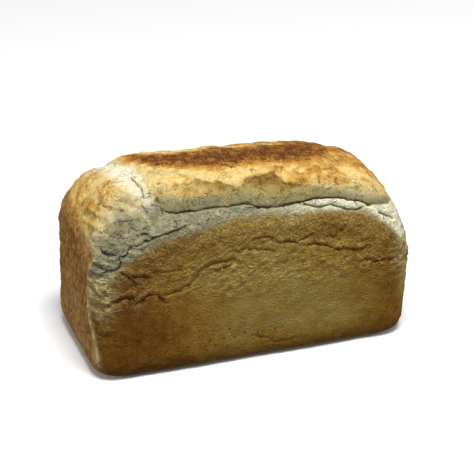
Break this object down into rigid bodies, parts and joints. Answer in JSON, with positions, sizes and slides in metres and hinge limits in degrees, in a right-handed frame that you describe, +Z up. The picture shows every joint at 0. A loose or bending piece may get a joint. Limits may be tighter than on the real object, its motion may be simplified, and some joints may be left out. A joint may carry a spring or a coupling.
{
  "type": "tin loaf",
  "caption": "White bread baked in an open deep tin: upright walls with rounded corners and a high domed crown, torn in a crease along both long sides.",
  "frame": {"origin": "middle of the flat base", "axes": "+X along the loaf's length, -Y out of the long side seen from the front, +Z up out of the crown"},
  "size_m": [0.24, 0.115, 0.1386],
  "materials": {
    "crust": "matt baked crust: dark brown on the crown, cream and floury along the tear, golden tan on the tin-baked walls"
  },
  "bodies": {
    "root": {"loaf": "crust"}
  },
  "joints": []
}
